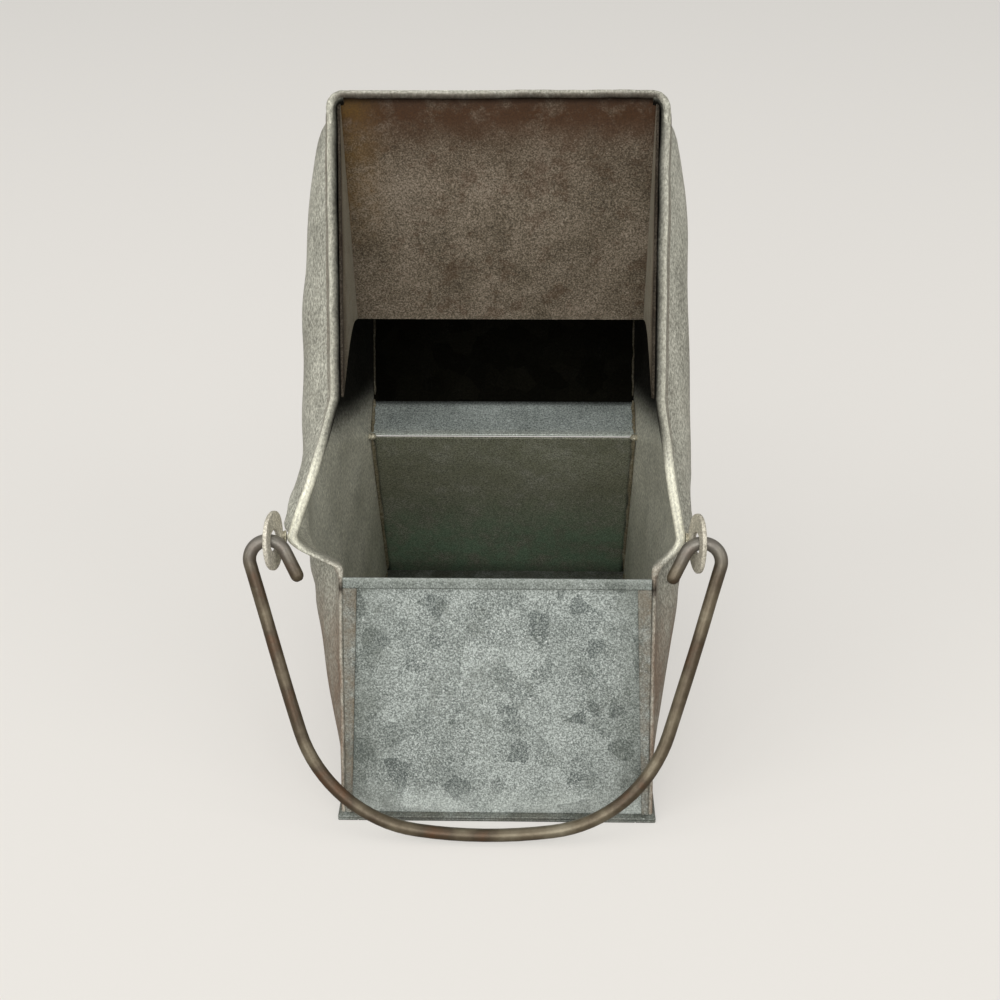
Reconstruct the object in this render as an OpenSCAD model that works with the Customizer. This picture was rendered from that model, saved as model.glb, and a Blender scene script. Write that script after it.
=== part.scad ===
// Small galvanised tin pail with a covered front, a hooded mouth and a swinging wire bail.
// It stands on its base. +X is to the right, +Y goes from the front to the back, +Z is up.
// The origin is on the table, midway between the side sheets, at the foot of the front plate.

/* [Body] */
// Clear width between the two side sheets at their seams
inner_w = 75; // [60:1:110]
// Depth of the base from the front foot to the rear foot
base_d = 121; // [100:1:160]
// Height of the top rim above the table
body_h = 167.5; // [150:0.5:200]
// Lean of the front plane back from upright, in degrees
front_lean = 18; // [12:0.5:22]
// Gauge of the tinned sheet
sheet_t = 0.7; // [0.5:0.1:1.2]

/* [Front] */
// Length of the front plate along its slope
front_plate_l = 61; // [45:1:66]
// Depth of the folded hem along the top of the front plate
front_hem_h = 4; // [2:0.5:8]
// Width of the folded hems down the sides of the front plate
front_seam_w = 3.5; // [2:0.5:8]

/* [Back] */
// Height of the ridge where the lower back meets the ledge
ridge_h = 60.5; // [50:0.5:68]
// Lean of the lower back forward from upright, in degrees
lower_back_lean = 24; // [16:0.5:28]
// Depth of the sloping ledge
ledge_d = 10.5; // [6:0.5:16]
// Rise of the ledge from front to back
ledge_rise = 6; // [2:0.5:10]
// Height of the upper back above the ledge
upper_back_h = 46; // [36:1:56]
// Lean of the upper back away from upright, in degrees
upper_back_lean = 22; // [10:0.5:26]

/* [Hood] */
// Drop of the hood panel below the top rim
hood_drop = 61.5; // [40:0.5:68]
// Lean of the hood panel from upright, in degrees
hood_lean = 12.7; // [8:0.1:20]
// Distance up the front plane to the foot of the hood flanges
hood_foot_s = 105; // [96:1:120]
// Radius of the rolled bead along the top rim
rim_r = 0.9; // [0.7:0.1:2]

/* [Side sheets] */
// Outward belly of the left side sheet at its fullest
belly_left = 12; // [4:0.5:14]
// Outward belly of the right side sheet at its fullest
belly_right = 10; // [4:0.5:14]
// Share of the depth at which the belly is fullest
belly_place = 0.37; // [0.3:0.01:0.5]
// Depth behind the front edge over which the belly sets in
belly_ease = 10; // [8:0.5:16]
// Outward flare of the left rim at its bail ear
flare_left = 11.4; // [8:0.1:16]
// Outward flare of the right rim at its bail ear
flare_right = 5.7; // [4:0.1:16]
// Depth into the body over which the flare dies out
flare_reach = 14; // [10:1:24]
// Width of the folded hem along the front edge of a side sheet
side_hem_w = 4.5; // [2:0.5:8]
// Thickness of that folded hem
side_hem_t = 2.3; // [1.4:0.1:2.8]
// Thickness of the seam that carries on below the hem, beside the front plate
side_seam_t = 1.2; // [1.2:0.1:1.8]
// Rise of the hem's folded lower corner above the front plate
fold_rise = 2.5; // [1:0.1:4]

/* [Base] */
// Thickness of the base where its edge is folded under
base_hem_t = 1.4; // [1.2:0.1:2.4]
// Width of the folded edge of the base
base_hem_w = 5; // [3:0.5:10]
// Reach of the base edge beyond the body
base_lip = 1.2; // [0.6:0.1:3]

/* [Bail ears] */
// Distance up the front plane to the middle of an ear
ear_s = 71; // [67:0.5:77]
// Distance of the bail axis in front of the front plane
ear_proud = 4.2; // [4:0.1:5]
// Thickness of an ear
ear_t = 1.2; // [0.8:0.1:2]
// Height of an ear, measured along the front plane
ear_h = 14.4; // [12:0.2:20]
// Width of an ear
ear_w = 10.4; // [9:0.2:14]
// Turn of each ear towards the front, in degrees
ear_turn = 14; // [0:1:16]
// Air around the bail wire in the hole of an ear
hole_air = 1; // [0.8:0.1:1.4]

/* [Bail] */
// Gauge of the bail wire
wire_d = 3.2; // [2.4:0.1:3.6]
// Length from the bail axis to the middle of its grip
bail_l = 71.9; // [69:0.1:72]
// Swing of the bail forward from hanging plumb, at rest, in degrees
bail_swing = 22; // [22:0.5:60]
// Angle that the flat bottom turns through on each side, in degrees
grip_turn = 8; // [4:0.5:12]
// Bend radius of the two lower corners
corner_r = 34; // [28:0.5:40]
// Splay of the bail legs from its middle line, in degrees
leg_splay = 16; // [12:0.5:20]
// Bend radius over the ears
hook_r = 4.5; // [3.8:0.1:5.2]
// Reach of the top of each hook beyond the middle of its ear
hook_lead = 1.2; // [0.6:0.1:1.6]
// Turn of the hooked tips inside the ears, in degrees
tip_turn = 64; // [40:1:80]
// Length of the straight tips
tip_l = 8; // [4:0.5:10]

/* [Hidden] */
$fn = 48;
zinc = [0.62, 0.66, 0.66];
dull_zinc = [0.5, 0.5, 0.47];
rusty_wire = [0.42, 0.38, 0.34];

half_w = inner_w / 2;
seam_gap = 0.02;

// Directions along the front plane, up its slope and into the body
slope = [sin(front_lean), cos(front_lean)];
inward = [cos(front_lean), -sin(front_lean)];

// Corners of the side outline in the Y-Z plane
foot_front = [base_hem_t * tan(front_lean), base_hem_t];
rim = [body_h * tan(front_lean), body_h];
front_top = front_plate_l * slope;
foot_rear = [base_d, base_hem_t];
ridge = [base_d - (ridge_h - base_hem_t) * tan(lower_back_lean), ridge_h];
ledge_back = ridge + [ledge_d, ledge_rise];
eave = ledge_back + [upper_back_h * tan(upper_back_lean), upper_back_h];
hood_low = rim + hood_drop * [tan(hood_lean), -1];
outline = [rim, eave, ledge_back, ridge, foot_rear, foot_front, front_top];

// Unit vector from a to b, and the normal that points into the body
function along(a, b) = (b - a) / norm(b - a);
function into(a, b) = let (d = along(a, b)) [d[1], -d[0]];

// Corner i of the outline moved inward by t, mitred between its two plates
function inset(i, t) =
    let (n = len(outline) - 1)
    i == 0 ? outline[0] + t * into(outline[0], outline[1]) :
    i == n ? outline[n] + t * into(outline[n - 1], outline[n]) :
    let (a = into(outline[i - 1], outline[i]), b = into(outline[i], outline[i + 1]))
    outline[i] + t * (a + b) / (1 + a * b);

// A shape drawn in the Y-Z plane, made w wide and centred on X
module across(w) {
    rotate([90, 0, 90]) translate([0, 0, -w / 2]) linear_extrude(w) children();
}

// The plate between corners i and i + 1 of the outline
module plate(i, w = inner_w) {
    across(w) polygon([outline[i], outline[i + 1], inset(i + 1, sheet_t), inset(i, sheet_t)]);
}

// A strip of thickness t on the line from a to b, on the side that n points to
module strip(a, b, n, t, w) {
    across(w) polygon([a, b, b + t * n, a + t * n]);
}

module base_plate() color(zinc) {
    outer_w = inner_w + 2 * (sheet_t + base_lip);
    outer_d = base_d + 2 * base_lip;
    difference() {
        translate([-outer_w / 2, -base_lip, 0]) cube([outer_w, outer_d, base_hem_t]);
        translate([-outer_w / 2 + base_hem_w, base_hem_w - base_lip, -sheet_t])
            cube([outer_w - 2 * base_hem_w, outer_d - 2 * base_hem_w, base_hem_t]);
    }
}

module front_plate() color(zinc) {
    foot = foot_front + seam_gap * slope;
    plate(5);
    strip(front_top - front_hem_h * slope, front_top, -inward, sheet_t, inner_w);
    for (side = [-1, 1]) translate([side * (inner_w - front_seam_w) / 2, 0, 0])
        strip(foot, front_top - front_hem_h * slope, -inward, sheet_t, front_seam_w);
}

module lower_back() color(dull_zinc) plate(3);
module ledge() color(zinc) plate(2);
module upper_back() color(dull_zinc) plate(1);

module roof() color(zinc) {
    plate(0);
    bead = rim + rim_r * into(rim, eave);
    translate([-half_w, bead[0], bead[1]]) rotate([0, 90, 0]) cylinder(r = rim_r, h = inner_w);
}

// Hood panel with a flange on each side that reaches forward to the side hem
module hood_tray() color(dull_zinc) {
    face = along(rim, hood_low);
    back = [-face[1], face[0]];
    top = rim + (2 * rim_r + seam_gap) * face;
    foot = hood_foot_s * slope;
    toe = hood_foot_s * slope + side_hem_w * inward;
    hollow = (toe + hood_low) / 2 + norm(hood_low - toe) / 4 * slope;
    strip(top, hood_low, back, sheet_t, inner_w - 2 * sheet_t);
    for (side = [-1, 1]) translate([side * (half_w - sheet_t / 2), 0, 0])
        across(sheet_t) polygon([top, foot, toe, hollow, hood_low, hood_low + sheet_t * back,
            top + sheet_t * back]);
}

// Fractions of the front edge where a side sheet changes its form
edge_l = norm(rim - foot_front);
v_plate = norm(front_top - foot_front) / edge_l;
v_fold = v_plate + fold_rise / edge_l;
v_ear = (ear_s - norm(foot_front)) / edge_l;
v_ridge = 0.5;
v_ledge = 0.57;
v_hood = (hood_foot_s - norm(foot_front)) / edge_l;

// Steps from a up to, but not including, b
function steps(a, b, n) = [for (i = [0 : n - 1]) a + (b - a) * i / n];
rows = concat(steps(0, v_plate, 7), [v_plate], steps(v_fold, v_ear, 6), steps(v_ear, v_ridge, 4),
    steps(v_ridge, v_ledge, 2), steps(v_ledge, v_hood, 2), steps(v_hood, 1, 9), [1]);
fold = side_hem_w + 0.4;
columns = concat([[0, 0], [side_hem_w, 0]], [for (i = [0 : 14]) [fold, i / 14]]);

// Ends of row v on the front edge and on the back outline
function front_end(v) = foot_front + v * (rim - foot_front);
function back_end(v) =
    v < v_ridge ? foot_rear + v / v_ridge * (ridge - foot_rear) :
    v < v_ledge ? ridge + (v - v_ridge) / (v_ledge - v_ridge) * (ledge_back - ridge) :
    ledge_back + (v - v_ledge) / (1 - v_ledge) * (eave - ledge_back);

// Shares of the belly along the height and along the depth. The low powers keep it full near the roof
// and near the front, and the high ones let it fade towards the base and the back.
function belly_at(v) = pow(max(0, sin(180 * v)), v < 0.5 ? 0.7 : 0.25);
belly_skew = ln(0.5) / ln(belly_place);
function belly_in(q) = pow(max(0, sin(180 * pow(q, belly_skew))), q < belly_place ? 0.55 : 1);

// Share of the flare along the front edge
function flare_at(v) =
    v <= v_fold || v >= v_hood ? 0 :
    v < v_ear ? pow(sin(90 * (v - v_fold) / (v_ear - v_fold)), 1.15) :
    pow((v_hood - v) / (v_hood - v_ear), 1.1);

// Points of one face of a side sheet, pushed out by its thickness there
function sheet_point(v, column, belly, flare, outer) =
    let (a = front_end(v), b = back_end(v), l = norm(b - a))
    let (d = column[0] + column[1] * (l - column[0]), p = a + d * (b - a) / l)
    let (swell = belly * belly_at(v) * belly_in(d / l) * (1 - exp(-pow(d / belly_ease, 2))))
    let (lip = flare * flare_at(v) * exp(-pow(d / flare_reach, 2)))
    let (t = d > side_hem_w ? sheet_t : v < v_fold ? side_seam_t : side_hem_t)
    [half_w + swell + lip + (outer ? t : 0), p[0], p[1]];

// A bellied sheet with a folded front hem, made for the right-hand side
module side_sheet(belly, flare) {
    nc = len(columns);
    nr = len(rows);
    points = [for (outer = [false, true], v = rows, c = columns) sheet_point(v, c, belly, flare, outer)];
    far = nc * nr;
    inner_faces = [for (j = [0 : nr - 2], i = [0 : nc - 2]) let (k = j * nc + i)
        each [[k, k + 1, k + nc + 1], [k, k + nc + 1, k + nc]]];
    outer_faces = [for (f = inner_faces) [f[0] + far, f[2] + far, f[1] + far]];
    border = concat([for (i = [0 : nc - 2]) [i, i + 1]],
        [for (j = [0 : nr - 2]) [j * nc + nc - 1, (j + 1) * nc + nc - 1]],
        [for (i = [nc - 1 : -1 : 1]) [(nr - 1) * nc + i, (nr - 1) * nc + i - 1]],
        [for (j = [nr - 1 : -1 : 1]) [j * nc, (j - 1) * nc]]);
    edge_faces = [for (e = border) each [[e[1], e[0], e[0] + far], [e[1], e[0] + far, e[1] + far]]];
    polyhedron(points, concat(inner_faces, outer_faces, edge_faces), convexity = 6);
}

module left_side() color(zinc) mirror([1, 0, 0]) side_sheet(belly_left, flare_left);
module right_side() color(zinc) side_sheet(belly_right, flare_right);

// Places of the ears and of the bail axis, with the rear edge of each ear turned in towards the hem
ear_air = 0.5;
rear_in = ear_w / 2 * sin(ear_turn);
ear_x_left = half_w + flare_left + side_hem_t + ear_air + ear_t / 2 + rear_in;
ear_x_right = half_w + flare_right + side_hem_t + ear_air + ear_t / 2 + rear_in;
axis_yz = ear_s * slope - ear_proud * inward;
bail_x = (ear_x_right - ear_x_left) / 2;
ear_span = ear_x_right + ear_x_left;

// An oblong with round ends, w wide and h high
module oblong(w, h) {
    for (end = [-1, 1]) translate([0, end * (h - w) / 2]) circle(d = w);
    square([w, h - w], center = true);
}

// Ear on the right-hand side, with the solder lug that joins it to the hem
module ear(ear_x) {
    lug_r = 1.2;
    translate([ear_x, axis_yz[0], axis_yz[1]]) rotate([-front_lean, 0, 0]) {
        rotate([0, 0, ear_turn]) rotate([90, 0, 90]) translate([0, 0, -ear_t / 2])
            linear_extrude(ear_t) difference() {
                oblong(ear_w, ear_h);
                circle(d = wire_d + 2 * hole_air);
            }
        translate([-rear_in - ear_t / 2 - ear_air / 2, ear_proud + lug_r, 0]) rotate([0, 90, 0])
            cylinder(r = lug_r, h = ear_t + ear_air / 2);
    }
}

module left_ear() color(dull_zinc) mirror([1, 0, 0]) ear(ear_x_left);
module right_ear() color(dull_zinc) ear(ear_x_right);

// Stations [x, z, heading] along a wire bent in the X-Z plane, starting after station p.
// Each step of the path is [length] for a straight run or [radius, turn] for a bend to the left.
max_bend = 7.5;
function bend_end(p, r, turn) =
    [p[0] + r * (sin(p[2] + turn) - sin(p[2])), p[1] + r * (cos(p[2]) - cos(p[2] + turn)), p[2] + turn];
function stations(path, p, i = 0) = i == len(path) ? [] :
    let (s = path[i], n = len(s) == 1 ? 1 : ceil(s[1] / max_bend))
    let (found = len(s) == 1 ? [[p[0] + s[0] * cos(p[2]), p[1] + s[0] * sin(p[2]), p[2]]] :
        [for (k = [1 : n]) bend_end(p, s[0], s[1] * k / n)])
    concat(found, stations(path, found[n - 1], i + 1));

// Round wire through the stations
module bent_wire(line) {
    sides = 24;
    last = (len(line) - 1) * sides;
    points = [for (s = line, k = [0 : sides - 1])
        let (a = 360 * k / sides, u = wire_d / 2 * cos(a))
        [s[0] - u * sin(s[2]), wire_d / 2 * sin(a), s[1] + u * cos(s[2])]];
    skin = [for (j = [0 : sides : last - 1], k = [0 : sides - 1])
        let (m = (k + 1) % sides) [j + k, j + m, j + sides + m, j + sides + k]];
    polyhedron(points, concat(skin, [[for (k = [sides - 1 : -1 : 0]) k]],
        [[for (k = [0 : sides - 1]) last + k]]), convexity = 4);
}

// Runs and bends of half the bail, from the middle of the grip to the tip. The grip's length follows
// from the place of the hooks, and its radius from that length.
leg_heading = 90 - leg_splay;
corner_run = corner_r * (sin(leg_heading) - sin(grip_turn));
corner_rise = corner_r * (cos(grip_turn) - cos(leg_heading));
grip_leg_rise = bail_l - hook_r * (1 + cos(leg_heading)) - corner_rise;
leg_foot_x = ear_span / 2 + hook_lead + hook_r * sin(leg_heading) - grip_leg_rise / tan(leg_heading);
grip_half = (leg_foot_x - corner_run) / (1 - tan(grip_turn / 2) / tan(leg_heading));
leg_l = (grip_leg_rise - grip_half * tan(grip_turn / 2)) / sin(leg_heading);
half_bail = [[grip_half / sin(grip_turn), grip_turn], [corner_r, leg_heading - grip_turn], [leg_l],
    [hook_r, 180 - leg_heading + tip_turn], [tip_l]];

module bail() color(rusty_wire) {
    middle = [0, -bail_l, 0];
    right = stations(half_bail, middle);
    left = [for (i = [len(right) - 1 : -1 : 0]) [-right[i][0], right[i][1], -right[i][2]]];
    translate([bail_x, axis_yz[0], axis_yz[1]]) rotate([-bail_swing, 0, 0])
        bent_wire(concat(left, [middle], right));
}

base_plate();
front_plate();
lower_back();
ledge();
upper_back();
roof();
hood_tray();
left_side();
right_side();
left_ear();
right_ear();
bail();
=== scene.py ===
"""Looks of the small galvanised pail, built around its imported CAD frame.

Sizes are in millimetres in the size classes, and turn into metres where a mesh is made.
+X is to the right, +Y goes from the front to the back and +Z is up, as in the frame.
"""

import logging
import math
from dataclasses import dataclass, field
from enum import Enum, IntEnum
from functools import cache, partial
from typing import Callable, Sequence

import bpy
import numpy as np
from mathutils import Matrix, Vector


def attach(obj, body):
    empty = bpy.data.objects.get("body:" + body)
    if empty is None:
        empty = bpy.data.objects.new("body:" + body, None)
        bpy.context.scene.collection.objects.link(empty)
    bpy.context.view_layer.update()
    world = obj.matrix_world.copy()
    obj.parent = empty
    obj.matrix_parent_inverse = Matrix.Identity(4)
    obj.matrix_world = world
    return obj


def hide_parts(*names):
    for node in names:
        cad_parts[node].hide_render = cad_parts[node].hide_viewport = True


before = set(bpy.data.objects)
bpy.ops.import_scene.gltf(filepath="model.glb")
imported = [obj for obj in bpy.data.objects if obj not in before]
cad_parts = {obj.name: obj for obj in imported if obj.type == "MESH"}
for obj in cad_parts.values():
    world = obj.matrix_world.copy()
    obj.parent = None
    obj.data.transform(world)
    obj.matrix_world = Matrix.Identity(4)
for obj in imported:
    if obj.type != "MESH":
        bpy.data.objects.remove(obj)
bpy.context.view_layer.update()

LOG = logging.getLogger("pail")
METRE = 0.001

Marks = dict["Mark", np.ndarray]
Marker = Callable[[np.ndarray, np.ndarray], Marks]


class Side(IntEnum):
    """Sides of the pail, as the sign of X."""

    LEFT = -1
    RIGHT = 1

    @property
    def word(self) -> str:
        """Name of the side in the name of a piece."""
        return self.name.lower()


class Mark(Enum):
    """Vertex attributes that say where a sheet is marked, with stains and wear, and also with painted shade
    and painted highlights.
    """

    # Dirt and stains, and in places painted shade
    GRIME = "grime"
    RUST = "rust"
    # Pale wear, and in places painted highlights and painted light
    PALE = "pale"
    # Painted shade: black painted where shade falls, in the throat, in gaps and under the rim
    SOOT = "soot"


# Colours and nodes


def linear(code: str) -> tuple[float, float, float, float]:
    """Turn an sRGB hex colour into a linear one.

    Args:
        code: Colour such as "#8f958e".

    Returns:
        Linear red, green, blue and a full alpha.
    """
    parts = [int(code[i:i + 2], 16) / 255 for i in (1, 3, 5)]
    curve = [c / 12.92 if c <= 0.04045 else ((c + 0.055) / 1.055) ** 2.4 for c in parts]
    return (*curve, 1.0)


def per_metre(size_mm: float) -> float:
    """Texture scale that makes one cell of a pattern size_mm across."""
    return 1 / (size_mm * METRE)


def fill_sockets(tree: bpy.types.NodeTree, node: bpy.types.Node, inputs: dict) -> None:
    """Give a node's inputs their values or links.

    Args:
        tree: Node tree that the node is in.
        node: The node.
        inputs: Socket name or number to a value, or to an output that is linked to it.
    """
    for key, value in inputs.items():
        if isinstance(value, bpy.types.NodeSocket):
            tree.links.new(value, node.inputs[key])
        else:
            node.inputs[key].default_value = value


def add_node(tree: bpy.types.NodeTree, kind: str, inputs: dict | None = None, output: int | str = 0,
             stops: Sequence[tuple[float, str]] = (), **settings: object) -> bpy.types.NodeSocket:
    """Add a shader node with its settings, socket values and links.

    Args:
        tree: Node tree that takes the node.
        kind: Blender's name of the node's type, without the ShaderNode before it.
        inputs: Socket name or number to a value, or to an output that is linked to it.
        output: Name or number of the output that is wanted.
        stops: Positions and hex colours, for a colour ramp.
        **settings: Properties of the node.

    Returns:
        The wanted output of the new node.
    """
    node = tree.nodes.new("ShaderNode" + kind)
    for key, value in settings.items():
        setattr(node, key, value)
    fill_sockets(tree, node, inputs or {})
    if stops:
        elements = node.color_ramp.elements
        while len(elements) < len(stops):
            elements.new(0.5)
        for element, (place, code) in zip(elements, stops):
            element.position = place
            element.color = linear(code)
    return node.outputs[output]


def start_material(name: str) -> tuple[bpy.types.Material, Callable[..., bpy.types.NodeSocket]]:
    """Make a material with its usual shader.

    Args:
        name: Name of the material.

    Returns:
        The material, and add_node for its own tree.
    """
    material = bpy.data.materials.new(name)
    material.use_nodes = True
    return material, partial(add_node, material.node_tree)


def finish_shader(material: bpy.types.Material, inputs: dict) -> bpy.types.Material:
    """Give the shader of a material its values and links.

    Args:
        material: Material with its usual shader.
        inputs: Socket name to a value or an output.

    Returns:
        The same material.
    """
    fill_sockets(material.node_tree, material.node_tree.nodes["Principled BSDF"], inputs)
    return material


@dataclass(frozen=True)
class SheetFinish:
    """Hot-dipped zinc on thin steel sheet: crystals that grew as the zinc set, then weather.

    The lengths in mm are real sizes, but for the grain and the flecks: zinc's frosting is finer than
    0.2 mm, and is drawn as coarse as it needs to show. A share says how much of a pattern shows.
    """

    name: str
    dark: str
    mid: str
    light: str
    # Colours of the marks: the stain colour also paints shade, the pale one also paints highlights and
    # light, and the black one is painted shade
    fleck: str = "#c9ccc4"
    stain: str = "#4d3a22"
    rust: str = "#6b4526"
    pale: str = "#dcdcc8"
    soot: str = "#0d0b07"
    spangle_mm: float = 5.5
    spangle_share: float = 0.34
    spangle_tone: float = 0.65
    spangle_gloss: float = 0.16
    turned_share: float = 0.1
    turned_tone: float = 0.35
    border_mm: float = 3.0
    border_drift_mm: float = 1.4
    grain_mm: float = 0.8
    grain_depth: float = 0.22
    blotch_mm: float = 17.0
    blotch_share: float = 0.28
    fleck_mm: float = 0.55
    fleck_cloud_mm: float = 9.0
    fleck_share: float = 0.35
    patch_mm: float = 7.0
    smudge_share: float = 0.0
    metallic: float = 0.25
    roughness: float = 0.52
    dull_roughness: float = 0.3
    bump_mm: float = 0.05
    streak: float = 1.0

    @cache
    def make(self) -> bpy.types.Material:
        """Build the material on its first use.

        Returns:
            The material, ready to assign.
        """
        material, add = start_material(self.name)
        place = add("TexCoord", output="Object")
        if self.streak != 1.0:
            place = add("VectorMath", {0: place, 1: (1.0, 1.0, self.streak)}, operation="MULTIPLY")
        # Crystal borders wander, so the cells are bent by a slow noise
        drift = add("TexNoise", {"Vector": place, "Scale": per_metre(self.border_mm), "Detail": 2.0},
                    "Color")
        bent = add("VectorMath", {0: drift, 1: (self.border_drift_mm * METRE,) * 3, 2: place},
                   operation="MULTIPLY_ADD")
        cells = add("TexVoronoi", {"Vector": bent, "Scale": per_metre(self.spangle_mm)}, "Color")
        cell = add("SeparateColor", {0: cells})
        grain, blotch, dots, cloud, patch = (
            add("TexNoise", {"Vector": place, "Scale": per_metre(size), "Detail": detail,
                             "Roughness": rough})
            for size, detail, rough in ((self.grain_mm, 2.0, 0.7), (self.blotch_mm, 6.0, 0.62),
                                        (self.fleck_mm, 2.0, 0.8), (self.fleck_cloud_mm, 2.0, 0.5),
                                        (self.patch_mm, 8.0, 0.75)))
        # In order: slow blotches, fine grain, frosted grains, the loose clouds they lie in, dark smudges,
        # and the few crystals that lie turned away from the light
        slow, fine, near, lit, smudge, turned = (
            add("MapRange", {0: value, 1: low, 2: high, 4: top}) for value, low, high, top in (
                (blotch, 0.3, 0.7, 1.0), (grain, 0.33, 0.67, 1.0), (dots, 0.58, 0.7, 1.0),
                (cloud, 0.35, 0.6, self.fleck_share), (patch, 0.53, 0.6, self.smudge_share),
                (cell, self.turned_share, self.turned_share + 0.08, self.turned_tone)))
        crystal = add("Math", {0: cell, 1: self.spangle_tone, 2: turned}, operation="MULTIPLY_ADD")
        tone = add("Math", {0: crystal, 1: self.spangle_share}, operation="MULTIPLY")
        grain_share = 1 - self.spangle_share - self.blotch_share
        for part, share in ((slow, self.blotch_share), (fine, grain_share)):
            tone = add("Math", {0: part, 1: share, 2: tone}, operation="MULTIPLY_ADD")
        colour = add("ValToRGB", {0: tone}, stops=((0.18, self.dark), (0.5, self.mid), (0.82, self.light)))
        spot = add("Math", {0: near, 1: lit}, operation="MULTIPLY")
        shares = {}
        for mark, low, high in ((Mark.GRIME, 0.18, 0.5), (Mark.RUST, 0.32, 0.58), (Mark.PALE, 0.22, 0.5),
                                (Mark.SOOT, 0.0, 0.35)):
            amount = add("Attribute", output="Fac", attribute_name=mark.value)
            cover = add("MapRange", {0: patch, 1: low, 2: high})
            shares[mark] = add("Math", {0: amount, 1: cover}, operation="MULTIPLY", use_clamp=True)
        # The dark marks are partly painted shade, and the pale mark is partly painted highlight and light
        for share, code in ((spot, self.fleck), (smudge, self.stain), (shares[Mark.GRIME], self.stain),
                            (shares[Mark.RUST], self.rust), (shares[Mark.PALE], self.pale),
                            (shares[Mark.SOOT], self.soot)):
            colour = add("Mix", {0: share, 6: colour, 7: linear(code)}, 2, data_type="RGBA")
        # The grain shows through every stain
        lift = add("MapRange", {0: fine, 3: 1 - self.grain_depth, 4: 1 + self.grain_depth})
        colour = add("VectorMath", {0: colour, 3: lift}, operation="SCALE")
        rough = add("Math", {0: cell, 1: self.spangle_gloss, 2: self.roughness - self.spangle_gloss / 2},
                    operation="MULTIPLY_ADD")
        # Rust and painted shade take the shine away
        dull = add("Math", {0: shares[Mark.RUST], 1: shares[Mark.SOOT]}, operation="MAXIMUM")
        rough = add("Math", {0: dull, 1: self.dull_roughness, 2: rough}, operation="MULTIPLY_ADD",
                    use_clamp=True)
        metal = add("Math", {0: dull, 1: -self.metallic, 2: self.metallic}, operation="MULTIPLY_ADD",
                    use_clamp=True)
        # Painted shade counts as black metal, which has no grey highlight over its black
        metal = add("Math", {0: shares[Mark.SOOT], 1: metal}, operation="MAXIMUM")
        height = add("Math", {0: spot, 1: 0.6, 2: fine}, operation="MULTIPLY_ADD")
        bump = add("Bump", {"Height": height, "Strength": 0.6, "Distance": self.bump_mm * METRE})
        return finish_shader(material, {"Base Color": colour, "Roughness": rough, "Metallic": metal,
                                        "Normal": bump})


# Spangled zinc, washed clean by handling: cool grey-green with clear crystals and frosted grains
PLATE_ZINC = SheetFinish("galvanised_plate_spangled", "#474e4b", "#787e79", "#a2a8a3", fleck="#e2e6e1",
                         stain="#4f544b", rust="#675b49", pale="#c3c9c2", blotch_share=0.12,
                         spangle_mm=5.0, grain_mm=0.42, fleck_share=0.6, metallic=0.3, turned_share=0.08,
                         smudge_share=0.25)
# Zinc under the hood, out of the rain: brown patina, hardly any crystal left to see
HOOD_ZINC = SheetFinish("galvanised_hood_patina", "#3b3226", "#5f5545", "#85796a", fleck="#a3998a",
                        stain="#40270f", rust="#5c4312", pale="#8d8878", spangle_share=0.1,
                        blotch_share=0.36, fleck_share=0.5, grain_mm=0.42, metallic=0.2, roughness=0.6,
                        smudge_share=0.42)
# Zinc of the ledge, painted bluish and bright as the light that falls on it
LIT_LEDGE_ZINC = SheetFinish("galvanised_ledge_painted_lit", "#858d89", "#a5ada8", "#c2cac5", fleck="#dfe4df",
                         spangle_share=0.14, fleck_share=0.4, grain_mm=0.42, metallic=0.3)
# Zinc of the back, chalky outside, olive and green with damp inside and painted black as shade in the throat
BACK_ZINC = SheetFinish("galvanised_back_damp", "#6f6f63", "#8b8b7f", "#a4a498", stain="#6f7059",
                        rust="#6e957a", pale="#7d7f6d", spangle_share=0.12, grain_mm=0.42, metallic=0.2,
                        roughness=0.6, smudge_share=0.25, grain_depth=0.4)
# Zinc of the sides and the roof: grey and chalky in streaks, brown with rust low down
SIDE_ZINC = SheetFinish("galvanised_side_chalky", "#858479", "#a8a79a", "#c4c3b6", fleck="#d6d5c6",
                        stain="#6b6154", rust="#7a5a41", pale="#e2e0cc", spangle_share=0.1,
                        blotch_share=0.42, fleck_share=0.3, grain_mm=0.5, metallic=0.22, roughness=0.55,
                        streak=0.55, smudge_share=0.15, bump_mm=0.03)
# Tinned steel washers, punched, pale and dull
EAR_TIN = SheetFinish("tinned_steel_washer", "#a09a89", "#bcb6a6", "#d2cdbf", fleck="#e0dccf",
                      stain="#5b4f3a", spangle_share=0.1, blotch_share=0.5, fleck_share=0.2, grain_mm=0.5,
                      metallic=0.35, roughness=0.42, bump_mm=0.012, smudge_share=0.2)
# Soft solder, wiped along the seams and gone cream with age
SOLDER = SheetFinish("soft_solder_wiped", "#8e8873", "#b2ab94", "#cfcab4", fleck="#dcd8c4",
                     stain="#6d6248", spangle_share=0.1, fleck_share=0.2, grain_mm=0.6, metallic=0.35,
                     roughness=0.42, bump_mm=0.12)


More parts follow.
